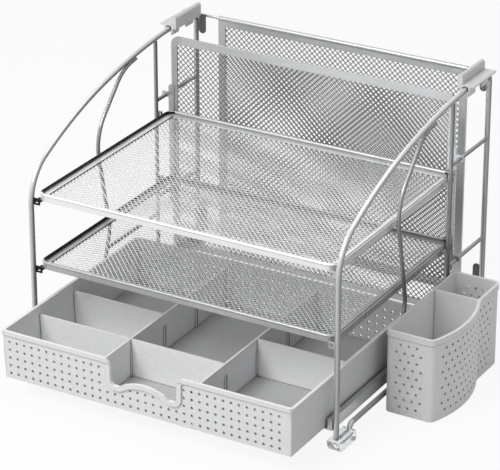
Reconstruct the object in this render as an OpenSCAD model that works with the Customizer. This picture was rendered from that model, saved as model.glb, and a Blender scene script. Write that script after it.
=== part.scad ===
// Desk file organizer: two mesh letter trays between bent-rod side frames, an
// upright file section behind them, a drawer below and a pen holder hung on
// the right side frame. Lengths in millimetres, angles in degrees.
// X runs right, Y runs back and Z up. The origin is on the desk, straight
// below the front left post. The drawer is drawn partly open.

/* [Side frames] */
// Distance between the middle planes of the two side frames
frame_w = 325; // [305:1:360]
// Distance from the front posts to the rear uprights
frame_d = 300; // [290:1:325]
// Height of the top rod's centre line
frame_h = 265; // [258:1:290]
// Diameter of the bent main rod
rod_d = 5.4; // [4.8:0.1:5.8]
// Diameter of the stays and crossbars
stay_d = 4; // [3.2:0.1:4.4]
// Bend radius where a front post turns into the bow
shoulder_r = 46; // [40:1:50]
// Bend radius of the bow's front part
bow_r = 440; // [400:5:460]
// Slope of the bow where the shoulder bend ends
shoulder_slope = 27; // [25:0.5:29]
// Slope of the bow halfway back
bow_slope = 13.3; // [12:0.1:14]
// Bend radius at the top of a rear upright
rear_bend_r = 9; // [7:0.5:12]
// Height of the bottom rod's centre line
bottom_z = 15; // [14.5:0.5:17]
// Distance from the back stays to the rear uprights
back_stay_gap = 78; // [70:0.5:85]
// Height of the upper crossbars
upper_bar_z = 196.7; // [190:0.1:205]
// Height of the lower crossbars
lower_bar_z = 92.2; // [88:0.1:98]
// Height of the bars that the pen holder hangs on
hanger_z = 74; // [68:0.5:78]

/* [Curved stays] */
// Distance behind the posts where a curved stay leaves the bow
stay_top_y = 185; // [180:0.5:190]
// Length of its weld along the bow
stay_weld_len = 8; // [6:0.5:12]
// Bend radius of its two upper bends
stay_bend_r = 45; // [40:1:50]
// Slope of its straight part between them
stay_drop_slope = 46; // [42:0.5:50]
// Length of that straight part
stay_drop_len = 34; // [26:0.5:40]
// Slope of its long part, which leans back
stay_lean = 101.5; // [98:0.5:104]
// Length of its long part
stay_lean_len = 76; // [68:0.5:84]
// Bend radius above its foot
stay_toe_r = 30; // [24:1:40]
// Slope of its foot
stay_toe_slope = 72; // [66:0.5:80]

/* [Feet] */
// Thickness of a foot below the rod
foot_sole = 3.8; // [3.2:0.1:4.2]
// Width of a foot
foot_w = 12.5; // [10:0.5:16]
// Length of a foot
foot_l = 34; // [30:0.5:40]
// Height of a foot
foot_h = 11.5; // [10:0.5:12]
// How far a foot's rising toe runs out in front of its sole
foot_toe = 5.9; // [4:0.1:6.2]
// Radius of a foot's heel
foot_heel_r = 4; // [3:0.5:5]
// Bend radius of the rod inside a foot
foot_bend_r = 6; // [5.7:0.1:6.3]
// Straight run of the rod inside a foot
foot_run = 13; // [10:0.5:15]
// Slope of the strut that leaves a foot
strut_slope = 60; // [54:1:63]

/* [Trays] */
// Underside of the upper tray
upper_tray_z = 175.2; // [168:0.2:182]
// Underside of the lower tray
lower_tray_z = 105.3; // [101:0.1:112]
// Height of a tray's rim
rim_h = 7.3; // [6.5:0.1:10]
// Diameter of the rolled bead on a tray's rim
bead_d = 2.8; // [2.4:0.1:3.2]
// Width of a tray's rim, seen from above
rim_w = 8.5; // [7:0.1:12]
// Height of the rim's flat band above the underside
band_z = 3; // [2.4:0.1:3.2]
// Radius of a tray's corners
tray_corner_r = 10; // [8:0.5:14]
// Gap between a tray and the posts
tray_side_gap = 1.3; // [1:0.1:1.6]
// Distance from the posts' middle back to a tray's front edge
tray_y = 2.5; // [0:0.5:4]
// Size of a tray's square corner tabs
tab_w = 6.6; // [6:0.1:8]
// How far a tab's plate hangs below the tray
tab_drop = 3.8; // [3:0.1:6]
// Height of the lug that ties a tray to a back stay
tray_lug_h = 7; // [5:0.5:10]

/* [File section] */
// Distance from the divider panel to the rear uprights
file_slot_d = 58; // [50:0.5:64]
// Height of the divider panel's top edge below the top rod
divider_drop = 4.7; // [4:0.1:10]
// Gap between the drawer runners and the divider panel's bottom edge
divider_lift = 1.4; // [1:0.1:6]
// Gap between the divider panel and the side frames' middle
divider_inset = 6.5; // [6:0.1:9]
// Width of the divider panel's sheet border
divider_border = 6.5; // [5:0.1:10]
// Gap between the back panel and the side frames' middle
back_inset = 24.4; // [20:0.2:30]
// Height of the back panel's bottom wire
back_wire_z = 27; // [25:0.5:32]
// Width of the back panel's sheet border
back_border = 8; // [6:0.1:10]
// Thickness of the folded sheet borders
border_t = 2.2; // [1.6:0.1:3]
// Radius of the panels' corners
panel_corner_r = 8; // [5:0.5:12]
// Width of the slotted strips beside the divider panel
strip_w = 6; // [5:0.1:7]
// Length of a strip beyond the crossbars
strip_end = 12.5; // [9:0.5:16]
// Diameter of the back panel's cross wires
cross_wire_d = 3; // [2.5:0.1:3.4]
// Length of the upper brackets that hold the back panel
upper_bracket_len = 19; // [14:0.5:26]
// Length of the lower brackets that hold the back panel
lower_bracket_len = 34; // [24:0.5:40]
// Width of those brackets
bracket_w = 7.5; // [6:0.1:9]

/* [Mesh] */
// Distance between parallel strands of the net
net_pitch = 26; // [24:0.5:40]
// Width of a strand
strand_w = 2; // [1:0.1:3]
// Thickness of the mesh
mesh_t = 1; // [0.8:0.1:1.4]

/* [Folder rails] */
// Length of a folder rail
rail_len = 48; // [40:1:60]
// Distance from the rail's rear end to the rear uprights
rail_back_gap = 5; // [4:0.5:12]
// Height of a rail's fin above its wing
fin_h = 9; // [6:0.5:14]
// Thickness of a rail's fin
fin_t = 5.6; // [4:0.1:6]
// Width of a rail's wing outside the rod's middle
wing_w = 9.3; // [8:0.1:12]
// Wall above the rod
rail_roof = 1.4; // [1:0.1:2]
// Wall thickness of a rail's wing and clips
rail_t = 2; // [1.6:0.1:2.4]
// Length of a rail's clips along the rod
clip_len = 12; // [8:0.5:16]

/* [Drawer] */
// Height of the drawer
drawer_h = 49.2; // [42:0.2:56]
// Gap between the drawer's rim and each post
drawer_side_gap = 4.9; // [4.5:0.1:8]
// Gap between the closed drawer and the divider panel
drawer_back_gap = 8; // [6:0.5:14]
// How far the closed drawer stands in front of the posts' middle
drawer_front_y = 3; // [1:0.5:6]
// How far the drawer is pulled out here
drawer_open = 64.7; // [40:0.1:120]
// Full travel of the drawer
drawer_travel = 150; // [125:1:160]
// Wall thickness of the drawer
drawer_wall = 2; // [1.6:0.1:3]
// How much the drawer's walls lean in below the rim
drawer_lean = 1.6; // [0.2:0.1:2.2]
// Radius of the drawer's corners
drawer_corner_r = 3.5; // [3:0.5:9]
// Height of the drawer's rim band
rim_band_h = 4.6; // [3:0.1:7]
// How much the rim band stands proud of the walls
rim_band_t = 1; // [0.6:0.1:1.5]
// Height of the partitions below the rim
partition_drop = 8.8; // [6:0.2:14]
// Thickness of the partitions and dividers
partition_t = 2; // [1.6:0.1:2.4]
// Distance between divider slots
slot_pitch = 58.3; // [50:0.1:60]
// Height of the ribs that hold the dividers
slot_rib_h = 28; // [20:0.5:34]
// Half the width of the finger notch at the rim
notch_half_w = 44; // [38:0.5:50]
// Depth of the finger notch's two low points
notch_depth = 26; // [20:0.5:28]
// Height of the hump between the two low points
notch_hump = 8; // [5:0.5:10]
// Height of the glide ribs on the drawer's sides
glide_h = 5; // [4:0.1:6]
// Diameter of the holes in the drawer's front and rear walls
perf_d = 2.8; // [2:0.1:3.4]
// Distance between those holes
perf_pitch = 8.2; // [7.5:0.1:12]

/* [Runners] */
// Underside of the drawer runners
runner_z = 20.6; // [20:0.1:24]
// Height of a runner's web
runner_h = 11; // [9:0.1:14]
// Width of a runner's bottom flange
runner_flange = 13; // [11:0.5:16]
// Width of a runner's top lip
runner_lip = 5.2; // [4:0.1:6]
// Sheet thickness of the runners, strips and brackets
sheet_t = 1.2; // [1:0.1:1.4]

/* [Pen holder] */
// Height of the pen holder
holder_h = 84.5; // [80:0.5:84.5]
// Height of its rim above the desk
holder_top_z = 86; // [86:0.5:92]
// Length of the pen holder along the side frame
holder_len = 142; // [136:1:146]
// Front of the pen holder, measured from the front post
holder_y = 86; // [84:0.5:90]
// How far the pen holder's ends stand out
holder_out = 48.5; // [44:0.5:56]
// How far its bowed front part swells out further
holder_bow = 10.4; // [6:0.2:14]
// Length of the bowed front part
holder_bow_len = 97; // [86:1:103]
// Wall thickness of the pen holder
holder_wall = 2; // [1.6:0.1:3]
// Radius of the pen holder's outer corners
holder_corner_r = 6; // [4:0.5:10]
// Radius of its two corners beside the side frame
holder_back_r = 6; // [4:0.5:10]
// Height of the pen holder's rim band
holder_band_h = 6; // [4:0.5:7]
// Width of the hooks on its back
hook_w = 9; // [6:0.5:12]
// Distance from the hanger bar's ends to the middle of a hook
hook_inset = 17.5; // [15:0.5:30]
// Diameter of the pen holder's holes
pore_d = 2.6; // [2:0.1:3.2]
// Distance between holes in a row
pore_pitch = 8.4; // [8:0.1:12]
// Distance between the rows, which are staggered
pore_row = 8; // [7.5:0.1:12]

/* [Clearances] */
// Gap where rods and sheets are welded or seated
seat_gap = 0.1; // [0.05:0.01:0.2]
// Running gap round the drawer, the hooks and the clips
run_gap = 0.3; // [0.2:0.05:0.4]

/* [Hidden] */

metal = [0.74, 0.75, 0.76];
sheet_metal = [0.68, 0.69, 0.71];
plastic = [0.86, 0.86, 0.87];
rail_plastic = [0.66, 0.66, 0.67];
clear = [0.9, 0.93, 0.95, 0.5];
tab_grey = [0.2, 0.2, 0.21];
$fn = 32;

rod_r = rod_d / 2;
stay_r = stay_d / 2;
bend_thinning = 0.02;
bend_lap = 0.2;

// Main rod: heights and lengths of the bent loop
back_stay_y = frame_d - back_stay_gap;
foot_z = foot_sole + rod_r;
strut_rise = bottom_z - foot_z;
strut_len = (strut_rise - 2 * foot_bend_r * (1 - cos(strut_slope))) / sin(strut_slope);
strut_run = 2 * foot_bend_r * sin(strut_slope) + strut_len * cos(strut_slope);
foot_len = foot_bend_r + foot_run + strut_run;
top_flat = 14;
shoulder_y = shoulder_r * (1 - sin(shoulder_slope));
bow_y = bow_r * (sin(shoulder_slope) - sin(bow_slope));
bow_end = frame_d - rear_bend_r - top_flat;
back_bow_r = (bow_end - shoulder_y - bow_y) / sin(bow_slope);
bow_rise = shoulder_r * cos(shoulder_slope)
         + bow_r * (cos(bow_slope) - cos(shoulder_slope))
         + back_bow_r * (1 - cos(bow_slope));
post_len = frame_h - bow_rise - foot_z - foot_bend_r;
upright_len = frame_h - rear_bend_r - foot_z - foot_bend_r;
bottom_len = frame_d - 2 * foot_len;

// Slope and height of the back bow at a distance y behind the posts
function bow_angle(y) = asin((bow_end - y) / back_bow_r);
function bow_z(y) = frame_h - back_bow_r * (1 - cos(bow_angle(y)));

// Curved stay: from its weld under the bow down to its foot's bend
stay_start_slope = bow_angle(stay_top_y);
stay_offset = rod_r + stay_r + seat_gap;
stay_start_y = stay_top_y + stay_offset * sin(stay_start_slope);
stay_start_z = bow_z(stay_top_y) - stay_offset * cos(stay_start_slope);
stay_toe_y = stay_start_y
           - stay_weld_len * cos(stay_start_slope)
           - stay_bend_r * (sin(stay_lean) - sin(stay_start_slope))
           - stay_drop_len * cos(stay_drop_slope)
           - stay_lean_len * cos(stay_lean)
           + stay_toe_r * (sin(stay_toe_slope) - sin(stay_lean));
stay_toe_z = stay_start_z
           - stay_weld_len * sin(stay_start_slope)
           - stay_bend_r * (cos(stay_start_slope) - cos(stay_lean))
           - stay_drop_len * sin(stay_drop_slope)
           - stay_lean_len * sin(stay_lean)
           - stay_toe_r * (cos(stay_toe_slope) - cos(stay_lean));
stay_foot_z = bottom_z + rod_r + seat_gap + stay_r * cos(stay_toe_slope);
stay_toe_len = (stay_toe_z - stay_foot_z) / sin(stay_toe_slope);
function toe_y(z) = stay_toe_y - (stay_toe_z - z) / tan(stay_toe_slope);
hanger_front = toe_y(hanger_z)
             + (stay_r + seat_gap) / sin(stay_toe_slope)
             + stay_r / tan(stay_toe_slope);
hanger_back = back_stay_y - stay_r - seat_gap;

// Trays
divider_y = frame_d - file_slot_d;
strip_y = divider_y - border_t / 2 - seat_gap - sheet_t / 2;
tray_x = rod_r + tray_side_gap;
tray_w = frame_w - 2 * tray_x;
tray_d = strip_y - sheet_t / 2 - run_gap - tray_y;
band_t = 1.2;
skirt_inset = 0.4;
tab_hole = 3.4;

// File section
divider_z = runner_z + runner_h + divider_lift;
divider_top_border = 8;
back_y = frame_d + 3.5;
back_top_z = frame_h - 1.3;
strip_x = 3.5;
strip_hook = stay_r + 2;

// Drawer
drawer_w = frame_w - rod_d - 2 * drawer_side_gap;
drawer_x = rod_r + drawer_side_gap;
drawer_closed_y = -drawer_front_y;
drawer_d = divider_y - drawer_back_gap - drawer_closed_y;
drawer_y = drawer_closed_y - drawer_open;
drawer_z = runner_z + sheet_t + run_gap;
bay_w = (drawer_w - 2 * rim_band_t - 2 * drawer_wall) / 3;
partition_h = drawer_h - partition_drop;
slot_rib_t = 1.2;
slot_rib_w = 6;
perf_side = 8.6;
perf_floor = 5.4;

// Runners
runner_x = rod_r + seat_gap;
stop_w = 3.6;
rear_stop_y = drawer_closed_y + drawer_d + run_gap;
glide_y = drawer_travel + sheet_t + run_gap;

// Pen holder
holder_x = frame_w + rod_r + 1.3;
holder_band_t = 1;
hook_t = 1.8;
lip_t = 1.3;
cup_wall_y = holder_bow_len;
pore_floor = 8.4;
pore_end = 12.3;

// Rod bent in the YZ plane. It starts upward at the origin. Each step is a
// straight length, a bend radius and a bend angle; a positive angle turns an
// upward rod to the back. A bend is a hair thinner than the straight parts
// and runs a little way into them. A closed rod ends where it starts.
module bent_rod(d, steps, closed = false, i = 0) {
    run = steps[i][0];
    radius = steps[i][1];
    angle = steps[i][2];
    centre = [0, sign(angle) * radius, run];
    lap_before = i > 0 || closed ? bend_lap : 0;
    lap_after = radius > 0 ? bend_lap : 0;
    translate([0, 0, -lap_before])
    cylinder(d = d, h = run + lap_before + lap_after);
    if (radius > 0) {
        translate(centre)
        rotate([0, 0, angle > 0 ? 0 : 180])
        rotate([90, 0, -90])
        rotate_extrude(angle = abs(angle))
        translate([radius, 0])
        circle(d = d - bend_thinning);
    }
    if (i < len(steps) - 1) {
        translate(centre)
        rotate([-angle, 0, 0])
        translate([0, -centre[1], 0])
        bent_rod(d, steps, closed, i + 1);
    }
}

// Rod bent to a closed rounded rectangle that lies flat
module flat_loop(d, w, l, r) {
    side = [l - 2 * r, r, 90];
    front = [w - 2 * r, r, 90];
    translate([0, r, 0])
    rotate([0, -90, -90])
    bent_rod(d, [side, front, side, front], closed = true);
}

module rounded_rect(w, l, r) {
    translate([r, 0])
    square([w - 2 * r, l]);
    translate([0, r])
    square([w, l - 2 * r]);
    for (x = [r, w - r], y = [r, l - r]) {
        translate([x, y])
        circle(r = r);
    }
}

// Extrudes an outline of X and Z lengths back along Y, from y over a length
module along_y(y, l) {
    translate([0, y + l, 0])
    rotate([90, 0, 0])
    linear_extrude(l)
    children();
}

// Block with rounded upright edges, whose walls lean in by lean at the bottom
// and stand upright above height h, where it may run on
module leaning_block(w, l, h, lean, r, run_on = 0) {
    top = h + run_on;
    intersection() {
        linear_extrude(top)
        rounded_rect(w, l, r);
        along_y(0, l)
        polygon([[lean, 0], [w - lean, 0], [w, h], [w, top], [0, top], [0, h]]);
        rotate([90, 0, 90])
        linear_extrude(w)
        polygon([[lean, 0], [l - lean, 0], [l, h], [l, top], [0, top], [0, h]]);
    }
}

module mirrored() {
    translate([frame_w, 0, 0])
    mirror([1, 0, 0])
    children();
}

module turned_back() {
    translate([0, frame_d, 0])
    mirror([0, 1, 0])
    children();
}

// Outline of a net that fills w by l with whole and half diamonds
module diamond_net(w, l) {
    cols = round(w / (net_pitch * sqrt(2)));
    rows = round(l / (net_pitch * sqrt(2)));
    half_x = w / cols / 2;
    half_y = l / rows / 2;
    trim = strand_w / sqrt(2);
    difference() {
        square([w, l]);
        intersection() {
            translate([strand_w, strand_w])
            square([w - 2 * strand_w, l - 2 * strand_w]);
            for (i = [0:2 * cols], j = [0:2 * rows]) {
                if ((i + j) % 2 == 1) {
                    translate([i * half_x, j * half_y])
                    polygon([
                        [trim - half_x, 0], [0, trim - half_y],
                        [half_x - trim, 0], [0, half_y - trim]
                    ]);
                }
            }
        }
    }
}

// ---- Side frames ----

module main_rod() {
    color(metal)
    translate([0, 0, foot_z + foot_bend_r])
    bent_rod(rod_d, [
        [post_len, shoulder_r, 90 - shoulder_slope],
        [0, bow_r, shoulder_slope - bow_slope],
        [0, back_bow_r, bow_slope],
        [top_flat, rear_bend_r, 90],
        [upright_len, foot_bend_r, 90],
        [foot_run, foot_bend_r, strut_slope],
        [strut_len, foot_bend_r, -strut_slope],
        [bottom_len, foot_bend_r, -strut_slope],
        [strut_len, foot_bend_r, strut_slope],
        [foot_run, foot_bend_r, 90]
    ], closed = true);
}

module main_rod_left() {
    main_rod();
}

module main_rod_right() {
    mirrored()
    main_rod();
}

module curved_stay() {
    color(metal)
    translate([0, stay_start_y, stay_start_z])
    rotate([90 + stay_start_slope, 0, 0])
    bent_rod(stay_d, [
        [stay_weld_len, stay_bend_r, stay_start_slope - stay_drop_slope],
        [stay_drop_len, stay_bend_r, stay_drop_slope - stay_lean],
        [stay_lean_len, stay_toe_r, stay_lean - stay_toe_slope],
        [stay_toe_len, 0, 0]
    ]);
}

module curved_stay_left() {
    curved_stay();
}

module curved_stay_right() {
    mirrored()
    curved_stay();
}

module back_stay() {
    foot = bottom_z + rod_r + seat_gap;
    slope = bow_angle(back_stay_y);
    head = bow_z(back_stay_y) - (rod_r + seat_gap) / cos(slope) - stay_r * tan(slope);
    color(metal)
    translate([0, back_stay_y, foot])
    cylinder(d = stay_d, h = head - foot);
}

module back_stay_left() {
    back_stay();
}

module back_stay_right() {
    mirrored()
    back_stay();
}

// Straight bar of a side frame from y to y_end at height z
module level_bar(y, y_end, z) {
    color(metal)
    translate([0, y, z])
    rotate([-90, 0, 0])
    cylinder(d = stay_d, h = y_end - y);
}

module crossbar(z) {
    level_bar(back_stay_y + stay_r + seat_gap, frame_d - rod_r - seat_gap, z);
}

module upper_crossbar_left() {
    crossbar(upper_bar_z);
}

module upper_crossbar_right() {
    mirrored()
    crossbar(upper_bar_z);
}

module lower_crossbar_left() {
    crossbar(lower_bar_z);
}

module lower_crossbar_right() {
    mirrored()
    crossbar(lower_bar_z);
}

module hanger_bar() {
    level_bar(hanger_front, hanger_back, hanger_z);
}

module hanger_bar_left() {
    hanger_bar();
}

module hanger_bar_right() {
    mirrored()
    hanger_bar();
}

// Side outline of a foot, whose toe follows the rod's bend; X is back, Y is up
module foot_outline() {
    toe_h = foot_bend_r + foot_z;
    toe_r = (toe_h * toe_h + foot_toe * foot_toe) / (2 * foot_toe);
    front = -rod_r - foot_sole;
    end = front + foot_l;
    intersection() {
        translate([front + toe_r, toe_h])
        circle(r = toe_r, $fn = 96);
        translate([front, 0])
        square([foot_bend_r - front, foot_h]);
    }
    translate([foot_bend_r, 0])
    square([end - foot_heel_r - foot_bend_r, foot_h]);
    translate([foot_bend_r, foot_heel_r])
    square([end - foot_bend_r, foot_h - 2 * foot_heel_r]);
    for (z = [foot_heel_r, foot_h - foot_heel_r]) {
        translate([end - foot_heel_r, z])
        circle(r = foot_heel_r);
    }
}

// Clear boot moulded round the dip in the rod
module foot() {
    color(clear)
    difference() {
        translate([-foot_w / 2, 0, 0])
        rotate([90, 0, 90])
        linear_extrude(foot_w)
        foot_outline();
        translate([0, 0, foot_z + foot_bend_r + foot_h])
        rotate([180, 0, 0])
        bent_rod(rod_d + 2 * seat_gap, [
            [foot_h, foot_bend_r, -90],
            [foot_run, foot_bend_r, -strut_slope],
            [strut_len, foot_bend_r, strut_slope],
            [foot_l, 0, 0]
        ]);
    }
}

module foot_front_left() {
    foot();
}

module foot_front_right() {
    mirrored()
    foot();
}

module foot_rear_left() {
    turned_back()
    foot();
}

module foot_rear_right() {
    mirrored()
    turned_back()
    foot();
}

// Sheet channel, open to the drawer, with a stop at each end of the travel
module drawer_runner() {
    color(sheet_metal) {
        along_y(drawer_closed_y, frame_d - drawer_closed_y)
        translate([runner_x, runner_z]) {
            square([sheet_t, runner_h]);
            square([runner_flange, sheet_t]);
            translate([0, runner_h - sheet_t])
            square([runner_lip, sheet_t]);
        }
        for (y = [drawer_closed_y, rear_stop_y]) {
            translate([runner_x, y, runner_z])
            cube([sheet_t + stop_w, sheet_t, runner_h]);
        }
    }
}

module drawer_runner_left() {
    drawer_runner();
}

module drawer_runner_right() {
    mirrored()
    drawer_runner();
}

// ---- Trays ----

module tray_outline(inset) {
    translate([inset, inset])
    rounded_rect(tray_w - 2 * inset, tray_d - 2 * inset, max(tray_corner_r - inset, 0.5));
}

// Rolled bead, skirt and flat band, with a lug behind each back stay
module tray_rim(z) {
    bead_r = bead_d / 2;
    lug_y = back_stay_y + stay_r + seat_gap;
    lug_out = tray_x + stay_r + 1.2;
    lug_in = skirt_inset + sheet_t / 2;
    color(sheet_metal)
    translate([tray_x, tray_y, z]) {
        translate([bead_r, bead_r, rim_h - bead_r])
        flat_loop(bead_d, tray_w - bead_d, tray_d - bead_d, tray_corner_r - bead_r);
        linear_extrude(rim_h - bead_r)
        difference() {
            tray_outline(skirt_inset);
            tray_outline(skirt_inset + sheet_t);
        }
        translate([0, 0, band_z])
        linear_extrude(band_t)
        difference() {
            tray_outline(skirt_inset + sheet_t / 2);
            tray_outline(rim_w);
        }
        for (x = [-lug_out, tray_w - lug_in]) {
            translate([x, lug_y - tray_y, band_z])
            cube([lug_out + lug_in, sheet_t, tray_lug_h]);
        }
    }
}

module upper_tray_rim() {
    tray_rim(upper_tray_z);
}

module lower_tray_rim() {
    tray_rim(lower_tray_z);
}

// Net that lies under the rim's band
module tray_mesh(z) {
    inset = skirt_inset + sheet_t + seat_gap;
    color(metal)
    translate([tray_x, tray_y, z + band_z - seat_gap - mesh_t])
    linear_extrude(mesh_t) {
        difference() {
            tray_outline(inset);
            tray_outline(rim_w);
        }
        translate([rim_w, rim_w])
        diamond_net(tray_w - 2 * rim_w, tray_d - 2 * rim_w);
    }
}

module upper_tray_mesh() {
    tray_mesh(upper_tray_z);
}

module lower_tray_mesh() {
    tray_mesh(lower_tray_z);
}

// Angle tab on a front post with a square hole; the tray's corner rests on it
module corner_tab() {
    shelf = tray_y + tray_corner_r - 3;
    hole_inset = (tab_w - tab_hole) / 2;
    color(tab_grey)
    translate([rod_r + seat_gap, 0, 0])
    difference() {
        union() {
            translate([0, 0, -tab_drop])
            cube([tab_w, sheet_t, tab_w]);
            translate([0, 0, -seat_gap - sheet_t])
            cube([tab_w, shelf, sheet_t]);
        }
        translate([hole_inset, -sheet_t, hole_inset - tab_drop])
        cube([tab_hole, 2 * sheet_t, tab_hole]);
    }
}

module tray_tabs(z) {
    translate([0, 0, z])
    corner_tab();
    mirrored()
    translate([0, 0, z])
    corner_tab();
}

module upper_tray_tabs() {
    tray_tabs(upper_tray_z);
}

module lower_tray_tabs() {
    tray_tabs(lower_tray_z);
}

// ---- File section ----

// Outline of a panel's opening inside its sheet border
module panel_opening(w, h, side, foot, head) {
    translate([side, foot])
    rounded_rect(w - 2 * side, h - foot - head, 1.5);
}

divider_w = frame_w - 2 * divider_inset;
divider_h = frame_h - divider_drop - divider_z;

module divider_frame() {
    color(sheet_metal)
    along_y(divider_y - border_t / 2, border_t)
    translate([divider_inset, divider_z])
    difference() {
        rounded_rect(divider_w, divider_h, panel_corner_r);
        panel_opening(divider_w, divider_h, divider_border, divider_border, divider_top_border);
    }
}

module divider_mesh() {
    side = divider_border + seat_gap;
    color(metal)
    along_y(divider_y - mesh_t / 2, mesh_t)
    translate([divider_inset + side, divider_z + side])
    intersection() {
        diamond_net(divider_w - 2 * side, divider_h - side - divider_top_border - seat_gap);
        rounded_rect(divider_w - 2 * side, divider_h - side - divider_top_border - seat_gap, 1.5);
    }
}

// Strip with a notched hook over each crossbar
module divider_strip() {
    foot = lower_bar_z - strip_end;
    head = upper_bar_z + strip_end;
    end_r = strip_w / 2;
    color(sheet_metal)
    along_y(strip_y - sheet_t / 2, sheet_t)
    difference() {
        union() {
            translate([strip_x, foot])
            square([strip_w, head - foot - end_r]);
            translate([strip_x + end_r, head - end_r])
            circle(r = end_r);
            for (z = [lower_bar_z, upper_bar_z]) {
                translate([-strip_hook, z - stay_r])
                square([strip_hook + strip_x + end_r, stay_d + 2]);
            }
        }
        for (z = [lower_bar_z, upper_bar_z]) {
            translate([-stay_r - seat_gap, z - stay_d])
            square([stay_d + 2 * seat_gap, stay_d]);
            translate([0, z])
            circle(r = stay_r + seat_gap);
        }
    }
}

module divider_strip_left() {
    divider_strip();
}

module divider_strip_right() {
    mirrored()
    divider_strip();
}

wire_r = cross_wire_d / 2;
upper_wire_z = back_top_z - wire_r;
back_w = frame_w - 2 * back_inset;
back_h = upper_wire_z - back_wire_z;

// Sheet border rolled round the cross wires at the top and the bottom
module back_panel_frame() {
    hem = 0.8;
    end = back_inset + 1;
    color(sheet_metal)
    difference() {
        union() {
            along_y(back_y - border_t / 2, border_t)
            translate([back_inset, back_wire_z])
            difference() {
                square([back_w, back_h]);
                panel_opening(back_w, back_h, back_border, back_border, back_border);
            }
            for (z = [back_wire_z, upper_wire_z]) {
                translate([back_inset, back_y, z])
                rotate([0, 90, 0])
                cylinder(d = cross_wire_d + 2 * hem, h = back_w);
            }
        }
        for (z = [back_wire_z, upper_wire_z]) {
            translate([back_inset - end, back_y, z])
            rotate([0, 90, 0])
            cylinder(d = cross_wire_d + 2 * seat_gap, h = back_w + 2 * end);
        }
    }
}

module back_panel_mesh() {
    side = back_border + seat_gap;
    color(metal)
    along_y(back_y - mesh_t / 2, mesh_t)
    translate([back_inset + side, back_wire_z + side])
    intersection() {
        diamond_net(back_w - 2 * side, back_h - 2 * side);
        rounded_rect(back_w - 2 * side, back_h - 2 * side, 1.5);
    }
}

module back_panel_wires() {
    color(metal)
    for (z = [back_wire_z, upper_wire_z]) {
        translate([runner_x, back_y, z])
        rotate([0, 90, 0])
        cylinder(d = cross_wire_d, h = frame_w - 2 * runner_x);
    }
}

// Plates between the uprights and the ends of the cross wires
module back_panel_brackets() {
    end_r = bracket_w / 2;
    plate_y = back_y - wire_r - seat_gap - sheet_t;
    module plate(z, z_round) {
        along_y(plate_y, sheet_t) {
            translate([runner_x, min(z, z_round)])
            square([bracket_w, abs(z - z_round)]);
            translate([runner_x + end_r, z_round])
            circle(r = end_r);
        }
    }
    color(sheet_metal)
    for (flip = [0, 1]) {
        translate([flip * frame_w, 0, 0])
        mirror([flip, 0, 0]) {
            plate(upper_wire_z + wire_r, upper_wire_z - upper_bracket_len + end_r);
            plate(back_wire_z - wire_r, back_wire_z + lower_bracket_len - end_r);
        }
    }
}

// ---- Folder rails ----

rail_top = rod_r + run_gap + rail_roof;

// Section of a rail round the rod's middle, without its clips
module rail_section() {
    fin_x = rod_r + run_gap;
    difference() {
        union() {
            translate([-wing_w + rail_t / 2, rail_top - rail_t])
            square([wing_w + fin_x + fin_t - rail_t, rail_t]);
            translate([-wing_w + rail_t / 2, rail_top - rail_t / 2])
            circle(d = rail_t);
            translate([fin_x, 0])
            square([fin_t, rail_top + fin_h - fin_t / 2]);
            translate([fin_x + fin_t / 2, rail_top + fin_h - fin_t / 2])
            circle(d = fin_t);
        }
        circle(r = rod_r + run_gap);
    }
}

// Two legs that grip the rod
module clip_section() {
    leg_x = rod_r + run_gap;
    leg_h = rod_r + 3;
    difference() {
        for (x = [-leg_x - rail_t, leg_x]) {
            translate([x, -leg_h])
            square([rail_t, leg_h + rail_top - rail_t / 2]);
        }
        circle(r = rod_r + run_gap);
    }
    for (side = [-1, 1]) {
        translate([side * (leg_x + rail_t / 2 - 0.5), -leg_h])
        circle(d = rail_t);
    }
}

module folder_rail() {
    rail_y = frame_d - rail_back_gap - rail_len;
    color(rail_plastic)
    translate([0, 0, frame_h]) {
        along_y(rail_y, rail_len)
        rail_section();
        for (y = [rail_y, rail_y + rail_len - clip_len - rear_bend_r]) {
            along_y(y, clip_len)
            clip_section();
        }
    }
}

module folder_rail_left() {
    folder_rail();
}

module folder_rail_right() {
    mirrored()
    folder_rail();
}

// ---- Drawer ----

notch_flare_r = 8.5;
notch_corner_r = 5;
notch_flank = notch_half_w - notch_flare_r;
notch_low = drawer_h - notch_depth;
hump_half = notch_flank - notch_corner_r - 4;
hump_r = (hump_half * hump_half + notch_hump * notch_hump) / (2 * notch_hump);
hump_mid_z = notch_low + notch_hump - hump_r;

// Outline of the finger notch, grown by an even margin; X is from its middle
module notch_outline(grow) {
    difference() {
        union() {
            translate([-notch_flank - grow, notch_low + notch_corner_r])
            square([2 * (notch_flank + grow), notch_depth]);
            translate([-notch_flank + notch_corner_r, notch_low - grow])
            square([2 * (notch_flank - notch_corner_r), notch_depth]);
            for (side = [-1, 1]) {
                translate([side * (notch_flank - notch_corner_r), notch_low + notch_corner_r])
                circle(r = notch_corner_r + grow);
            }
        }
        translate([0, hump_mid_z])
        circle(r = hump_r - grow);
    }
    for (side = [-1, 1]) {
        difference() {
            translate([side * notch_half_w - (side > 0 ? notch_flare_r : 0), drawer_h - notch_flare_r])
            square([notch_flare_r, 2 * notch_flare_r]);
            translate([side * notch_half_w, drawer_h - notch_flare_r])
            circle(r = notch_flare_r - grow);
        }
    }
}

// Whether a hole at x, z in the front wall keeps a gap to the finger notch
function clears_notch(x, z, gap) =
    abs(x) > notch_flank + gap
    || z < notch_low - gap
    || norm([x, z - hump_mid_z]) < hump_r - gap;

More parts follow.
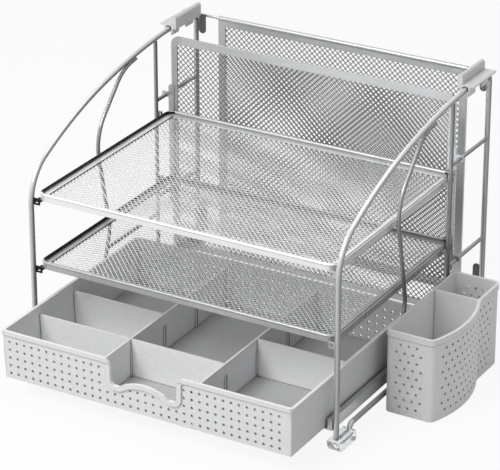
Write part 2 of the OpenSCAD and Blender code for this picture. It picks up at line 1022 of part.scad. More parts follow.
// Grid of holes through the front wall and the rear wall
module drawer_holes() {
    gap = rim_band_h + perf_d / 2 + 0.4;
    cols = floor((drawer_w - 2 * perf_side) / perf_pitch);
    rows = floor((drawer_h - rim_band_h - perf_floor - perf_d) / perf_pitch);
    depth = rim_band_t + drawer_wall + drawer_lean + 2;
    for (i = [0:cols], j = [0:rows]) {
        x = perf_side + i * perf_pitch;
        z = perf_floor + j * perf_pitch;
        if (clears_notch(x - drawer_w / 2, z, gap)) {
            translate([x, depth - 1, z])
            rotate([90, 0, 0])
            cylinder(d = perf_d, h = depth);
        }
        translate([x, drawer_d + 1, z])
        rotate([90, 0, 0])
        cylinder(d = perf_d, h = depth);
    }
}

module drawer_outline(inset) {
    translate([inset, inset])
    rounded_rect(drawer_w - 2 * inset, drawer_d - 2 * inset, drawer_corner_r - inset);
}

// Pair of ribs on an upright face at x that hold a divider's edge
module slot_rib(x) {
    groove = partition_t + 2 * seat_gap;
    translate([x, 0, drawer_wall])
    rotate([90, 0, 90])
    linear_extrude(slot_rib_t)
    difference() {
        union() {
            translate([-slot_rib_w / 2, -drawer_wall / 2])
            square([slot_rib_w, slot_rib_h - slot_rib_w / 2]);
            translate([0, slot_rib_h - slot_rib_w / 2 - drawer_wall / 2])
            circle(d = slot_rib_w);
        }
        translate([-groove / 2, 0])
        square([groove, 2 * slot_rib_h]);
    }
}

// Tub shell with its rim band, open at the finger notch
module drawer_shell() {
    inner = rim_band_t + drawer_wall;
    difference() {
        union() {
            translate([rim_band_t, rim_band_t, 0])
            leaning_block(
                drawer_w - 2 * rim_band_t, drawer_d - 2 * rim_band_t,
                drawer_h, drawer_lean, drawer_corner_r - rim_band_t
            );
            translate([0, 0, drawer_h - rim_band_h])
            linear_extrude(rim_band_h)
            drawer_outline(0);
            along_y(0, drawer_wall)
            translate([drawer_w / 2, 0])
            intersection() {
                notch_outline(rim_band_h);
                translate([-notch_half_w - rim_band_h, 0])
                square([2 * (notch_half_w + rim_band_h), drawer_h]);
            }
        }
        translate([inner, inner, drawer_wall])
        leaning_block(
            drawer_w - 2 * inner, drawer_d - 2 * inner, drawer_h - drawer_wall,
            wall_lean(drawer_wall), drawer_corner_r - rim_band_t, drawer_wall
        );
        along_y(-1, inner + drawer_lean + 2)
        translate([drawer_w / 2, 0])
        notch_outline(0);
        drawer_holes();
    }
}

function wall_lean(z) = drawer_lean * (1 - z / drawer_h);
function bay_x(i) = rim_band_t + drawer_wall + i * bay_w;
function slot_y(i) = i * slot_pitch + 1.8;

module drawer_tub() {
    inner = rim_band_t + drawer_wall;
    glide_x = runner_x + sheet_t + run_gap - drawer_x;
    color(plastic)
    translate([drawer_x, drawer_y, drawer_z]) {
        drawer_shell();
        for (i = [1, 2]) {
            translate([bay_x(i) - partition_t / 2, inner, drawer_wall / 2])
            cube([partition_t, drawer_d - 2 * inner, partition_h - drawer_wall / 2]);
            for (j = [1:3]) {
                translate([bay_x(i), slot_y(j), 0]) {
                    slot_rib(partition_t / 2);
                    slot_rib(-partition_t / 2 - slot_rib_t);
                }
            }
        }
        for (x = [glide_x, drawer_w - rim_band_t - drawer_lean - 0.5]) {
            translate([x, glide_y, 0])
            cube([rim_band_t + drawer_lean + 0.5 - glide_x, drawer_d - rim_band_t - glide_y, glide_h]);
        }
    }
}

// Removable plate across bay i at slot j
module cross_divider(i, j) {
    function left(z) = run_gap + (i == 0 ? wall_lean(z) : partition_t / 2);
    function right(z) = run_gap + (i == 2 ? wall_lean(z) : partition_t / 2);
    color(plastic)
    translate([drawer_x, drawer_y, drawer_z])
    along_y(slot_y(j) - partition_t / 2, partition_t)
    polygon([
        [bay_x(i) + left(drawer_wall), drawer_wall + seat_gap],
        [bay_x(i + 1) - right(drawer_wall), drawer_wall + seat_gap],
        [bay_x(i + 1) - right(partition_h), partition_h],
        [bay_x(i) + left(partition_h), partition_h]
    ]);
}

module left_bay_front_divider() {
    cross_divider(0, 1);
}

module left_bay_rear_divider() {
    cross_divider(0, 2);
}

module middle_bay_divider() {
    cross_divider(1, 1);
}

module right_bay_divider() {
    cross_divider(2, 2);
}

// ---- Pen holder ----

// Plan of the holder, inset evenly; X is out from its back, Y from its front
module holder_plan(inset) {
    half_bow = holder_bow_len / 2;
    bow_r = (half_bow * half_bow + holder_bow * holder_bow) / (2 * holder_bow);
    bow_x = holder_out + holder_bow - bow_r;
    corner_r = holder_corner_r - inset;
    corner_x = bow_x + sqrt(pow(bow_r - holder_corner_r, 2) - pow(half_bow - holder_corner_r, 2));
    touch_y = half_bow - (half_bow - holder_corner_r) * bow_r / (bow_r - holder_corner_r);
    blend_r = 15;
    blend_x = holder_out + blend_r;
    blend_y = half_bow + sqrt(pow(bow_r + blend_r, 2) - pow(blend_x - bow_x, 2));
    blend_end = half_bow + (blend_y - half_bow) * bow_r / (bow_r + blend_r);
    difference() {
        intersection() {
            translate([inset, inset])
            rounded_rect(2 * holder_out, holder_len - 2 * inset, holder_back_r - inset);
            union() {
                translate([inset, inset])
                square([corner_x - inset, 2 * corner_r]);
                translate([corner_x, holder_corner_r])
                circle(r = corner_r);
                intersection() {
                    translate([bow_x, half_bow])
                    circle(r = bow_r - inset, $fn = 128);
                    translate([inset, touch_y + inset])
                    square([2 * holder_out, blend_y - touch_y - inset]);
                }
                translate([inset, half_bow])
                square([holder_out - 2 * inset, holder_len - half_bow - inset - holder_corner_r]);
                translate([inset, half_bow])
                square([holder_out - inset - holder_corner_r, holder_len - half_bow - inset]);
                translate([holder_out - holder_corner_r, holder_len - holder_corner_r])
                circle(r = corner_r);
                translate([holder_out - inset - 1, blend_end])
                square([3, blend_y - blend_end]);
            }
        }
        translate([blend_x, blend_y])
        circle(r = blend_r + inset);
    }
}

// Staggered rows of holes through the two ends and the outer wall
module holder_holes() {
    out = 2 * holder_out;
    rows = floor((holder_h - holder_band_h - pore_floor - pore_d) / pore_row);
    cols = floor((holder_len - 2 * pore_end) / pore_pitch);
    for (j = [0:rows]) {
        z = pore_floor + j * pore_row;
        shift = (j + 1) % 2;
        for (i = [0:cols - shift]) {
            translate([holder_out / 2, pore_end + (i + shift / 2) * pore_pitch, z])
            rotate([0, 90, 0])
            cylinder(d = pore_d, h = out);
        }
        for (i = [0:3 - shift], y = [holder_wall + 1, holder_len + 1]) {
            translate([holder_out / 2 + (i + shift / 2 - 1.5) * pore_pitch, y, z])
            rotate([90, 0, 0])
            cylinder(d = pore_d, h = holder_wall + 2);
        }
    }
}

// Holder with its rim band and the wall between its two cups
module holder_shell() {
    difference() {
        union() {
            linear_extrude(holder_h)
            holder_plan(0);
            translate([0, 0, holder_h - holder_band_h])
            linear_extrude(holder_band_h)
            intersection() {
                holder_plan(-holder_band_t);
                translate([0, -holder_band_t])
                square([2 * holder_out, holder_len + 2 * holder_band_t]);
            }
        }
        translate([0, 0, holder_wall])
        linear_extrude(holder_h)
        holder_plan(holder_wall);
        holder_holes();
    }
    translate([0, 0, holder_wall / 2])
    linear_extrude(holder_h - holder_wall / 2)
    intersection() {
        holder_plan(holder_wall / 2);
        translate([0, cup_wall_y - holder_wall / 2])
        square([2 * holder_out, holder_wall]);
    }
}

module pen_holder() {
    hook_top = hanger_z + stay_r + run_gap + hook_t;
    lip_x = frame_w - stay_r - run_gap - lip_t;
    base_z = holder_top_z - holder_h;
    color(plastic) {
        translate([holder_x, holder_y, base_z])
        holder_shell();
        for (y = [hanger_front + hook_inset, hanger_back - hook_inset]) {
            translate([lip_x, y - hook_w / 2, 0]) {
                translate([0, 0, hook_top - hook_t])
                cube([holder_x + holder_wall / 2 - lip_x, hook_w, hook_t]);
                translate([0, 0, hanger_z - stay_d])
                cube([lip_t, hook_w, hook_top - hanger_z + stay_d]);
            }
        }
    }
}

main_rod_left();
main_rod_right();
curved_stay_left();
curved_stay_right();
back_stay_left();
back_stay_right();
upper_crossbar_left();
upper_crossbar_right();
lower_crossbar_left();
lower_crossbar_right();
hanger_bar_left();
hanger_bar_right();
drawer_runner_left();
drawer_runner_right();
foot_front_left();
foot_front_right();
foot_rear_left();
foot_rear_right();
upper_tray_rim();
upper_tray_mesh();
upper_tray_tabs();
lower_tray_rim();
lower_tray_mesh();
lower_tray_tabs();
divider_frame();
divider_mesh();
divider_strip_left();
divider_strip_right();
back_panel_frame();
back_panel_mesh();
back_panel_wires();
back_panel_brackets();
folder_rail_left();
folder_rail_right();
drawer_tub();
left_bay_front_divider();
left_bay_rear_divider();
middle_bay_divider();
right_bay_divider();
pen_holder();
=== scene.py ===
import math

import bmesh
import bpy
from mathutils import Matrix, Vector


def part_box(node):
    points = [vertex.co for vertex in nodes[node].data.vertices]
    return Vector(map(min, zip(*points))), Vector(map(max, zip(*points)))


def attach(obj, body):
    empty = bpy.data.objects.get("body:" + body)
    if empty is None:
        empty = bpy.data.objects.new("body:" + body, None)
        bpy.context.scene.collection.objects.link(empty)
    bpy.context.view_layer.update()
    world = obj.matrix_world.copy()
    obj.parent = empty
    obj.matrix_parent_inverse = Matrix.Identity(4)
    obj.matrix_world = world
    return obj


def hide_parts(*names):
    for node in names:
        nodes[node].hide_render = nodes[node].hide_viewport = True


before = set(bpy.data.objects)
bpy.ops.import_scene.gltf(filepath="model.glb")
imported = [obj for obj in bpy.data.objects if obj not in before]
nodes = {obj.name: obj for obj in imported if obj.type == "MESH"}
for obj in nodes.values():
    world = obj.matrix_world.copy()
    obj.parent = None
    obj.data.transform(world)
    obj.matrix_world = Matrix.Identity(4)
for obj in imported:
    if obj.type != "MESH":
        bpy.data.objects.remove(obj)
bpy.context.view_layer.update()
mm = 0.001
print("frame loaded,", len(nodes), "nodes")


class Wire:  # a node's output, whose operators add Math nodes; without a socket it is the pen
    def __init__(self, tree, socket=None):
        self.tree = tree
        self.socket = socket

    def node(self, kind, settings=None, sockets=None, out=0):
        made = self.tree.nodes.new(kind)
        for name, value in (settings or {}).items():
            setattr(made, name, value)
        for name, value in (sockets or {}).items():
            if isinstance(value, Wire):
                self.tree.links.new(value.socket, made.inputs[name])
            else:
                made.inputs[name].default_value = value
        return Wire(self.tree, made.outputs[out])

    def maths(self, operation, *terms):
        return self.node("ShaderNodeMath", {"operation": operation}, dict(enumerate(terms)))

    def vectors(self, operation, other, out="Vector"):
        settings = {"operation": operation}
        return self.node("ShaderNodeVectorMath", settings, {0: self, 1: other}, out)

    def dot(self, other):
        return self.vectors("DOT_PRODUCT", other, "Value")

    def split(self):  # x, y and z of a vector
        node = self.node("ShaderNodeSeparateXYZ", None, {0: self}).socket.node
        return [Wire(self.tree, out) for out in node.outputs]

    def __add__(self, other):
        return self.maths("ADD", self, other)

    def __radd__(self, other):
        return self.maths("ADD", other, self)

    def __sub__(self, other):
        return self.maths("SUBTRACT", self, other)

    def __rsub__(self, other):
        return self.maths("SUBTRACT", other, self)

    def __mul__(self, other):
        return self.maths("MULTIPLY", self, other)

    def __rmul__(self, other):
        return self.maths("MULTIPLY", other, self)

    def __gt__(self, other):
        return self.maths("GREATER_THAN", self, other)

    def __lt__(self, other):
        return self.maths("LESS_THAN", self, other)

    def __abs__(self):
        return self.maths("ABSOLUTE", self)

    def larger(self, other):
        return self.maths("MAXIMUM", self, other)

    def clamped(self):
        return self.maths("MINIMUM", self.larger(0.0), 1.0)


def newMaterial(name, fixed=None):
    mat = bpy.data.materials.new(name)
    mat.use_nodes = True
    shader = mat.node_tree.nodes["Principled BSDF"]
    for socket, value in (fixed or {}).items():
        shader.inputs[socket].default_value = value
    return mat, Wire(mat.node_tree), shader


def feed(pen, shader, links):
    for socket, wire in links.items():
        pen.tree.links.new(wire.socket, shader.inputs[socket])


def noise(pen, point, scale, detail):
    return pen.node("ShaderNodeTexNoise", None, {"Vector": point, "Scale": scale, "Detail": detail})


def mixColour(pen, factor, first, second, how="MIX"):  # sockets 6, 7 and 2 are its colours
    settings = {"data_type": "RGBA", "blend_type": how}
    return pen.node("ShaderNodeMix", settings, {0: factor, 6: first, 7: second}, 2)


def grey(level, warmth=0.0):  # a grey as a colour, cooler where warmth is negative
    return (level * (1 + warmth), level, level * (1 - warmth), 1.0)


def roundedEdges(pen, radius):  # the rounded and the plain normal, and how far they differ
    rounded = pen.node("ShaderNodeBevel", {"samples": 4}, {"Radius": radius * mm})
    flat = pen.node("ShaderNodeNewGeometry", out="Normal")
    return rounded, flat, 1 - rounded.dot(flat)


def bumps(pen, strength, depth, height, normal=None):
    sockets = {"Strength": strength, "Distance": depth * mm, "Height": height}
    if normal:
        sockets["Normal"] = normal
    return pen.node("ShaderNodeBump", None, sockets)


coatLook = {  # what all silver coats share: noises per metre, edge in mm, greys and shares
    "paintedLightFrom": (-0.5, -0.35, 0.79),  # painted shade on each wire's side turned away from this direction, painted highlight on the side turned toward it
    "patches": 18.0, "flakes": 4200.0, "edge": 0.35, "edgeReach": 2.5, "wear": 0.35,
    "tone": 0.2, "patchTone": 0.35, "flakeTone": 0.3, "darkWarmth": -0.02, "lightWarmth": -0.015,
    "shadeFrom": 0.6, "shadeFall": 1.3, "highlightFrom": 0.55, "highlightRise": 2.6, "highlightGrey": 0.96,
    "paintedBlackGrey": 0.012, "patchMetal": 0.05, "patchRough": 0.1, "wearSmooth": 0.1, "bump": 0.5,
}
metalLook = {  # greys and shares, among them the grey of the painted shade on each wire's far side and the share of the painted highlight; the peel's noise per metre and its depth in mm
    "wire": {
        "dark": 0.54, "light": 0.72, "under": 0.36, "highlight": 0.75,
        "metallic": 0.6, "roughness": 0.25, "peel": 700, "depth": 0.05,
    },
    # a darker copy of the wire coat for the stays and crossbars: painted shade
    "stay": {
        "dark": 0.33, "light": 0.46, "under": 0.30, "highlight": 0.15,
        "metallic": 0.6, "roughness": 0.25, "peel": 700, "depth": 0.05,
    },
    "sheet": {
        "dark": 0.47, "light": 0.59, "under": 0.9, "highlight": 0.0,
        "metallic": 0.55, "roughness": 0.34, "peel": 900, "depth": 0.04,
    },
    "bracket": {
        "dark": 0.10, "light": 0.16, "under": 0.8, "highlight": 0.0,
        "metallic": 0.5, "roughness": 0.34, "peel": 900, "depth": 0.04,
    },
    # a paler copy of the rim coat for the upper tray, with a full painted highlight: painted light
    "upperRim": {
        "dark": 0.86, "light": 0.95, "under": 0.5, "highlight": 1.0,
        "metallic": 0.25, "roughness": 0.28, "peel": 900, "depth": 0.04,
    },
    # a darker copy of the same rim coat for the lower tray: painted shade
    "lowerRim": {
        "dark": 0.42, "light": 0.54, "under": 0.5, "highlight": 0.25,
        "metallic": 0.25, "roughness": 0.28, "peel": 900, "depth": 0.04,
    },
    # a paler copy of the net coat for the trays, with a strong painted highlight: painted light
    "trayNet": {
        "dark": 0.84, "light": 0.95, "under": 0.35, "highlight": 0.9,
        "metallic": 0.85, "roughness": 0.22, "peel": 1500, "depth": 0.03,
    },
    # a much darker copy of the same net coat for the upright panels: painted shade
    "panelNet": {
        "dark": 0.14, "light": 0.24, "under": 0.7, "highlight": 0.0,
        "metallic": 0.55, "roughness": 0.36, "peel": 1500, "depth": 0.03,
    },
}


def metalFinish(name, look, shade=None):
    mat, pen, shader = newMaterial(name)
    coat = coatLook
    point = pen.node("ShaderNodeTexCoord", out="Object")
    patches = noise(pen, point, coat["patches"], detail=3.0)  # broad, faint unevenness
    flakes = noise(pen, point, coat["flakes"], detail=0.0)  # metal flakes in the coat
    peel = noise(pen, point, look["peel"], detail=1.0)
    rounded, flat, edge = roundedEdges(pen, coat["edge"])
    worn = (edge * coat["edgeReach"]).clamped() * coat["wear"]
    tone = coat["tone"] + coat["patchTone"] * patches + coat["flakeTone"] * flakes + worn
    dark = grey(look["dark"], coat["darkWarmth"])
    colour = mixColour(pen, tone.clamped(), dark, grey(look["light"], coat["lightWarmth"]))
    # painted shade on the side of each wire turned away from the light direction, and a painted
    # highlight on the side turned toward it
    facingLight = rounded.dot(coat["paintedLightFrom"])
    paintedShadeShare = (coat["shadeFrom"] - coat["shadeFall"] * facingLight).clamped()
    paintedHighlightShare = ((facingLight - coat["highlightFrom"]) * coat["highlightRise"]).clamped() * look["highlight"]
    shadedColour = mixColour(pen, 1.0, colour, grey(look["under"]), "MULTIPLY")
    colour = mixColour(pen, paintedShadeShare, colour, shadedColour)
    colour = mixColour(pen, paintedHighlightShare, colour, grey(coat["highlightGrey"]))
    metallic = look["metallic"] + coat["patchMetal"] * patches
    # painted shade: black in the fold of the side rims and on the two left tabs
    if shade:
        paintedBlack = shade(point, flat)
        colour = mixColour(pen, paintedBlack, colour, grey(coat["paintedBlackGrey"]))
        metallic = metallic.larger(paintedBlack)  # painted shade: black, with its reflection taken away too
    rough = coat["patchRough"]
    roughness = look["roughness"] - rough / 2 + rough * patches - worn * coat["wearSmooth"]
    normal = bumps(pen, coat["bump"], look["depth"], peel, rounded)
    links = {"Base Color": colour, "Metallic": metallic, "Roughness": roughness, "Normal": normal}
    feed(pen, shader, links)
    return mat


foldLook = {  # painted shade in the rim fold and a painted reflection along the rear rim: mm from the rim's middle or its underside; facing, black and the rear's darkening are shares
    "halfWidth": 158.6, "bead": 3.8, "wallTop": 6.9, "beadFoot": 4.4, "rearWidth": 10.0,
    "wallFacing": 0.12, "beadFacing": -0.25, "paintedBlack": 0.98, "rearReflectionShade": 0.3,
}


def rimShade(low, high):  # painted shade: black inside the fold of the side rims, and a darker painted reflection along the rear rim
    def shade(point, flat):
        x, y, z = point.split()
        side = x - (low[0] + high[0]) / 2
        out = abs(side)
        inward = -1 * flat.split()[0] * side.maths("SIGN", side)
        wall = (inward > foldLook["wallFacing"]) * (z < low[2] + foldLook["wallTop"] * mm)
        bead = (inward > foldLook["beadFacing"]) * (z > low[2] + foldLook["beadFoot"] * mm)
        bead = bead * (out > (foldLook["halfWidth"] - foldLook["bead"]) * mm)
        fold = wall.larger(bead) * (out < foldLook["halfWidth"] * mm)
        rear = y > high[1] - foldLook["rearWidth"] * mm
        return (fold * foldLook["paintedBlack"]).larger(rear * foldLook["rearReflectionShade"])
    return shade


tabLook = {"leftOf": 100.0, "paintedBlack": 0.98}  # mm, and the share of painted shade


def tabShade(point, flat):  # painted shade: only the two left tabs are blackened
    return (point.split()[0] < tabLook["leftOf"] * mm) * tabLook["paintedBlack"]


mouldingLook = {  # what all plastics share: noises per metre, edge in mm, greys and shares
    "flow": 9.0, "speck": 520.0, "edge": 0.6, "edgeReach": 2.2, "edgeHighlight": 0.75,
    "flowTone": 0.3, "grainTone": 0.12, "speckTone": 1.0, "toneDrop": 0.05,
    "edgeHighlightGrey": 0.93, "insideGrey": 0.97, "shadeGrey": 0.12, "creviceFrom": 1.8, "creviceFall": 2.3,
    "flowRough": 0.08, "grainRough": 0.06, "edgeSmooth": 0.12, "bump": 0.45,
    "specular": 0.45, "ior": 1.47,
}
plasticLook = {  # greys and shares, the grain's noise per metre, its depth and the painted crevice shade's reach in mm
    "drawer": {
        "dark": 0.65, "light": 0.77, "warmth": -0.012, "roughness": 0.42,
        "grain": 1500, "depth": 0.03, "reach": 3.0, "creviceShade": 0.9,
    },
    # a paler copy of the drawer plastic for the bay dividers: painted light
    "divider": {
        "dark": 0.84, "light": 0.94, "warmth": -0.005, "roughness": 0.42,
        "grain": 1500, "depth": 0.03, "reach": 2.0, "creviceShade": 0.5,
    },
    "rail": {
        "dark": 0.63, "light": 0.73, "warmth": 0.0, "roughness": 0.38,
        "grain": 1300, "depth": 0.03, "reach": 2.0, "creviceShade": 0.5,
    },
}


def plasticFinish(name, look, shade=None):
    made = mouldingLook
    fixed = {"Specular IOR Level": made["specular"], "IOR": made["ior"]}
    mat, pen, shader = newMaterial(name, fixed)
    point = pen.node("ShaderNodeTexCoord", out="Object")
    flow = noise(pen, point, made["flow"], detail=2.0)  # faint flow marks of the moulding
    grain = noise(pen, point, look["grain"], detail=1.0)  # fine spark-eroded grain
    speck = noise(pen, point, made["speck"], detail=0.0)
    rounded, flat, edge = roundedEdges(pen, made["edge"])
    edgeWearAndHighlight = (edge * made["edgeReach"]).clamped()  # edges are a little smoother from handling, and painted paler as a highlight
    tone = made["flowTone"] * flow + made["grainTone"] * grain + made["speckTone"] * speck
    tone = (tone - made["toneDrop"]).clamped()
    dark = grey(look["dark"], look["warmth"])
    colour = mixColour(pen, tone, dark, grey(look["light"], look["warmth"]))
    colour = mixColour(pen, edgeWearAndHighlight * made["edgeHighlight"], colour, grey(made["edgeHighlightGrey"]))
    # the mould's painted shade, and its painted light on inner walls and top faces
    paintedMouldShade = None
    if shade:
        paintedMouldShade, inside = shade(point, flat)
        # painted light on the inner walls and on the top faces
        colour = mixColour(pen, inside, colour, grey(made["insideGrey"]))
    nearby = {"Distance": look["reach"] * mm, "Normal": rounded}
    openness = pen.node("ShaderNodeAmbientOcclusion", {"samples": 6}, nearby, "AO")
    paintedCreviceShade = (made["creviceFrom"] - made["creviceFall"] * openness).clamped() * look["creviceShade"]
    colour = mixColour(pen, paintedCreviceShade, colour, grey(made["shadeGrey"]))  # painted shade in holes, creases and under overhangs
    # painted shade under the rim band, on the floor and on the sides
    if paintedMouldShade:
        colour = mixColour(pen, paintedMouldShade, colour, grey(made["shadeGrey"]))
    roughness = look["roughness"] + made["flowRough"] * flow + made["grainRough"] * grain
    roughness = roughness - made["edgeSmooth"] * edgeWearAndHighlight
    normal = bumps(pen, made["bump"], look["depth"], grain, rounded)
    feed(pen, shader, {"Base Color": colour, "Roughness": roughness, "Normal": normal})
    return mat


mouldLook = {  # mm: the band's height and the walls' reach inward; the rest are shares of painted shade under the band, on the floor and on the sides, and of painted light on the inner walls and on top faces
    "tub": {
        "band": 4.6, "sides": 6.5, "ends": 3.5, "bandShadow": 0.6,
        "floor": 0.36, "sideShade": 0.2, "inside": 0.3, "edges": 0.85,
    },
    "holder": {
        "band": 6.0, "sides": 16.0, "ends": 4.0, "bandShadow": 0.6,
        "floor": 0.28, "sideShade": 0.0, "inside": 0.9, "edges": 0.85,
    },
}
paintedShadeLook = {"drop": 0.3, "width": 0.9, "floorHeight": 12.0, "level": 0.9}  # mm, the last a share


def mouldShade(box, look):  # painted shade: a shadow line under the rim band, a darker floor and darker sides; painted light: paler inner walls and top faces
    low, high = (Vector(corner) for corner in box)
    middle = (low + high) / 2
    half = (high - low) / 2

    def shade(point, flat):
        x, y, z = point.split()
        outward = flat.dot(point.vectors("SUBTRACT", tuple(middle))) > 0
        farX = abs(x - middle.x) > half.x - look["sides"] * mm
        farY = abs(y - middle.y) > half.y - look["ends"] * mm
        outer = farX.larger(farY) * outward
        # painted shadow line just under the rim band
        underBand = abs(z - (high.z - (look["band"] + paintedShadeLook["drop"]) * mm))
        bandShadow = (1 - underBand * (1 / (paintedShadeLook["width"] * mm))).clamped() * outer
        facingUp = flat.split()[2] > paintedShadeLook["level"]
        # painted shade on the floor and on the outer sides
        floorShade = facingUp * (z < low.z + paintedShadeLook["floorHeight"] * mm)
        # painted light: up-facing faces above the floor are paler
        edges = (facingUp - floorShade) * look["edges"]
        sideShade = farX * outward * (1 - facingUp) * look["sideShade"]
        floorAndSideShade = (floorShade * look["floor"]).larger(sideShade)
        # painted light: inner walls are paler
        inside = (1 - outward) * (1 - facingUp) * look["inside"]
        return (bandShadow * look["bandShadow"]).larger(floorAndSideShade), inside.larger(edges)
    return shade


vinylLook = {  # noises per metre, the ripple's depth in mm, greys and shares
    "clear": 0.93, "haze": 90.0, "hazeDark": 0.86, "hazeLight": 0.97, "hazeRough": 0.12,
    "darkWarmth": -0.03, "lightWarmth": -0.02, "roughness": 0.1, "ior": 1.46,
    "ripple": 160, "depth": 0.2, "bump": 0.25,
}


def vinylFinish(name, look):
    fixed = {"Transmission Weight": look["clear"], "IOR": look["ior"]}
    mat, pen, shader = newMaterial(name, fixed)
    point = pen.node("ShaderNodeTexCoord", out="Object")
    haze = noise(pen, point, look["haze"], detail=2.0)
    ripple = noise(pen, point, look["ripple"], detail=1.0)
    dark = grey(look["hazeDark"], look["darkWarmth"])
    colour = mixColour(pen, haze, dark, grey(look["hazeLight"], look["lightWarmth"]))
    roughness = look["roughness"] + look["hazeRough"] * haze
    normal = bumps(pen, look["bump"], look["depth"], ripple)
    feed(pen, shader, {"Base Color": colour, "Roughness": roughness, "Normal": normal})
    return mat


wireCoat = metalFinish("silver_wire_coat", metalLook["wire"])
stayCoat = metalFinish("silver_stay_coat", metalLook["stay"])
sheetCoat = metalFinish("silver_sheet_coat", metalLook["sheet"])
trayNetCoat = metalFinish("silver_tray_net_coat", metalLook["trayNet"])
panelNetCoat = metalFinish("silver_panel_net_coat", metalLook["panelNet"])
dividerPlastic = plasticFinish("pale_divider_plastic", plasticLook["divider"])
tubShade = mouldShade(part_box("drawer_tub"), mouldLook["tub"])
tubPlastic = plasticFinish("light_grey_drawer_plastic", plasticLook["drawer"], tubShade)
holderShade = mouldShade(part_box("pen_holder"), mouldLook["holder"])
holderPlastic = plasticFinish("light_grey_holder_plastic", plasticLook["drawer"], holderShade)
railPlastic = plasticFinish("mid_grey_plastic", plasticLook["rail"])
tabCoat = metalFinish("tab_coat", metalLook["sheet"], tabShade)
bracketCoat = metalFinish("dark_bracket_coat", metalLook["bracket"])
clearVinyl = vinylFinish("clear_vinyl", vinylLook)

finishOf = {  # start of a node's name: its finish
    "main_rod": wireCoat, "curved_stay": stayCoat, "back_stay": stayCoat,
    "upper_crossbar": stayCoat, "lower_crossbar": stayCoat, "hanger_bar": stayCoat,
    "back_panel_wires": wireCoat, "drawer_runner": sheetCoat, "foot": clearVinyl,
    "divider_frame": sheetCoat, "divider_strip": sheetCoat, "back_panel_frame": sheetCoat,
    "back_panel_brackets": bracketCoat, "folder_rail": railPlastic, "drawer_tub": tubPlastic,
    "left_bay": dividerPlastic, "middle_bay": dividerPlastic, "right_bay": dividerPlastic,
    "pen_holder": holderPlastic, "upper_tray_tabs": tabCoat, "lower_tray_tabs": tabCoat,
}
for tray in ("upper", "lower"):
    low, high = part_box(tray + "_tray_rim")
    shade = rimShade(low, high)
    finishOf[tray + "_tray_rim"] = metalFinish(tray + "_rim_coat", metalLook[tray + "Rim"], shade)
print("finishes made")

for name, obj in nodes.items():
    for start, finish in finishOf.items():
        if name.startswith(start):
            for slot in obj.material_slots:
                slot.material = finish
print("finishes given to the frame's nodes")

netLook = {  # mm: opening, strand, the reach under a frame, the corner cut, and a cut's tolerance
    "tray": {
        "pitch": 5.7, "strand": 0.84, "thick": 0.28, "ridge": 0.1,
        "tuck": 0.0, "corner": 7.0, "snap": 0.02, "upright": False, "coat": trayNetCoat,
    },
    "panel": {
        "pitch": 5.7, "strand": 0.81, "thick": 0.42, "ridge": 0.12,
        "tuck": 2.0, "corner": 0.0, "snap": 0.02, "upright": True, "coat": panelNetCoat,
    },
}


def expandedNet(name, node, look):
    low, high = (Vector(corner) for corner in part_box(node))
    tuck = look["tuck"] * mm
    width = high.x - low.x + 2 * tuck
    length = (high.z - low.z if look["upright"] else high.y - low.y) + 2 * tuck
    cols = round(width / (look["pitch"] * mm))
    rows = round(length / (look["pitch"] * mm))
    across = 2 * ((cols + rows + 3) // 2)  # enough squares, once turned to diamonds
    halfGrid = across / 2 / math.sqrt(2)  # a square's diagonal is 1, which becomes one opening
    bm = bmesh.new()
    bmesh.ops.create_grid(bm, x_segments=across, y_segments=across, size=halfGrid)
    bmesh.ops.rotate(bm, verts=bm.verts[:], matrix=Matrix.Rotation(math.pi / 4, 3, "Z"))
    bmesh.ops.scale(bm, verts=bm.verts[:], vec=(width / cols, length / rows, 1.0))
    cuts = [((sx * width / 2, 0, 0), (sx, 0, 0)) for sx in (-1, 1)]
    cuts += [((0, sy * length / 2, 0), (0, sy, 0)) for sy in (-1, 1)]
    if look["corner"]:
        reach = width / 2 - look["corner"] * mm
        corners = [(sx, sy) for sx in (-1, 1) for sy in (-1, 1)]
        cuts += [((sx * reach, sy * length / 2, 0), (sx, sy, 0)) for sx, sy in corners]
    for place, normal in cuts:
        bmesh.ops.bisect_plane(
            bm, geom=bm.verts[:] + bm.edges[:] + bm.faces[:], dist=look["snap"] * mm,
            plane_co=place, plane_no=normal, clear_outer=True,
        )
    crossings = bm.verts[:]
    holes = bm.faces[:]
    halfStrand = look["strand"] / 2 * mm
    bmesh.ops.inset_individual(bm, faces=holes, thickness=halfStrand, use_even_offset=True)
    bmesh.ops.delete(bm, geom=holes, context="FACES")
    ridges = [v for v in crossings if v.is_valid]
    bmesh.ops.translate(bm, verts=ridges, vec=(0, 0, look["ridge"] * mm))
    top = bmesh.ops.extrude_face_region(bm, geom=bm.faces[:], use_keep_orig=True)
    lifted = [v for v in top["geom"] if isinstance(v, bmesh.types.BMVert)]
    bmesh.ops.translate(bm, verts=lifted, vec=(0, 0, look["thick"] * mm))
    bmesh.ops.translate(bm, verts=bm.verts[:], vec=(0, 0, -look["thick"] / 2 * mm))
    bmesh.ops.recalc_face_normals(bm, faces=bm.faces[:])
    place = Matrix.Translation((low + high) / 2)
    if look["upright"]:
        place = place @ Matrix.Rotation(math.pi / 2, 4, "X")
    bmesh.ops.transform(bm, matrix=place, verts=bm.verts[:])
    mesh = bpy.data.meshes.new(name)
    bm.to_mesh(mesh)
    openEdges = sum(not e.is_manifold for e in bm.edges)
    bm.free()
    mesh.materials.append(look["coat"])
    piece = bpy.data.objects.new(name, mesh)
    bpy.context.scene.collection.objects.link(piece)
    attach(piece, "frame")
    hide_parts(node)
    faces = len(mesh.polygons)
    print(name, cols, "by", rows, "openings,", faces, "faces,", openEdges, "open edges")


expandedNet("upper_tray_net", "upper_tray_mesh", netLook["tray"])
expandedNet("lower_tray_net", "lower_tray_mesh", netLook["tray"])
expandedNet("divider_net", "divider_mesh", netLook["panel"])
expandedNet("back_panel_net", "back_panel_mesh", netLook["panel"])


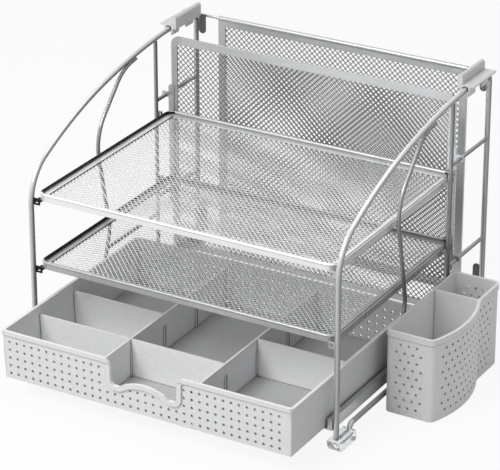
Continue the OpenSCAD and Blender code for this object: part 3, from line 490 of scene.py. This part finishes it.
backdropLook = {"floor": 0.86, "glow": 0.9, "halfWidth": 12.0, "world": 0.40}  # halfWidth in m


def backdropShare(pen):  # 1 where the camera, a mirror or clear plastic looks at the backdrop
    path = pen.node("ShaderNodeLightPath").socket.node
    rays = ("Is Camera Ray", "Is Glossy Ray", "Is Transmission Ray")
    camera, glossy, through = (Wire(pen.tree, path.outputs[ray]) for ray in rays)
    return (camera + glossy + through).clamped()


floorMesh = bpy.data.meshes.new("floor")
bm = bmesh.new()
bmesh.ops.create_grid(bm, x_segments=2, y_segments=2, size=backdropLook["halfWidth"])
bm.to_mesh(floorMesh)
bm.free()
floor = bpy.data.objects.new("floor", floorMesh)
bpy.context.scene.collection.objects.link(floor)
floorMat = bpy.data.materials.new("pale_floor")
floorMat.use_nodes = True
floorTree = floorMat.node_tree
floorTree.nodes.remove(floorTree.nodes["Principled BSDF"])
pen = Wire(floorTree)
paper = pen.node("ShaderNodeBsdfDiffuse", None, {"Color": grey(backdropLook["floor"])})
glow = pen.node("ShaderNodeEmission", None, {"Color": grey(1.0), "Strength": 1.0})
share = backdropShare(pen) * backdropLook["glow"]
mixed = pen.node("ShaderNodeMixShader", None, {0: share, 1: paper, 2: glow})
floorTree.links.new(mixed.socket, floorTree.nodes["Material Output"].inputs["Surface"])
floorMesh.materials.append(floorMat)

world = bpy.data.worlds.new("studio")
bpy.context.scene.world = world
world.use_nodes = True
pen = Wire(world.node_tree)
background = world.node_tree.nodes["Background"]
background.inputs["Color"].default_value = grey(1.0)
share = backdropShare(pen)
strength = share + (1 - share) * backdropLook["world"]
world.node_tree.links.new(strength.socket, background.inputs["Strength"])

lampLook = {  # place, aim and size in m, power in W
    "key_light": {
        "place": (-0.36, -1.26, 1.61), "aim": (0.16, 0.1, 0.1), "size": 0.9, "power": 26.0,
    },
    "top_light": {
        "place": (0.25, 0.45, 1.8), "aim": (0.16, 0.1, 0.1), "size": 0.9, "power": 4.0,
    },
}
for name, look in lampLook.items():
    data = bpy.data.lights.new(name, "AREA")
    data.shape = "SQUARE"
    data.size = look["size"]
    data.energy = look["power"]
    lamp = bpy.data.objects.new(name, data)
    lamp.location = look["place"]
    beam = Vector(look["aim"]) - Vector(look["place"])
    lamp.rotation_euler = beam.to_track_quat("-Z", "Y").to_euler()
    bpy.context.scene.collection.objects.link(lamp)

cameraLook = {  # the photo's view: lens and sensor in mm, place in m, and the camera's axes
    "lens": 197.57, "sensor": 36.0, "clip": 0.05, "place": (1.3403, -1.9171, 1.2224),
    "right": (0.86638, 0.49939, 0.0),
    "up": (-0.21050, 0.36519, 0.90682),
    "back": (0.45286, -0.78565, 0.42151),
}
cameraData = bpy.data.cameras.new("camera")
cameraData.sensor_width = cameraLook["sensor"]
cameraData.lens = cameraLook["lens"]
cameraData.clip_start = cameraLook["clip"]
camera = bpy.data.objects.new("camera", cameraData)
axes = [Vector(cameraLook[axis]) for axis in ("right", "up", "back")]
turn = Matrix(axes).transposed().to_4x4()
camera.matrix_world = Matrix.Translation(cameraLook["place"]) @ turn
bpy.context.scene.collection.objects.link(camera)
bpy.context.scene.camera = camera
bpy.context.scene.view_settings.view_transform = "Standard"
print("stage set")

bpy.context.view_layer.update()
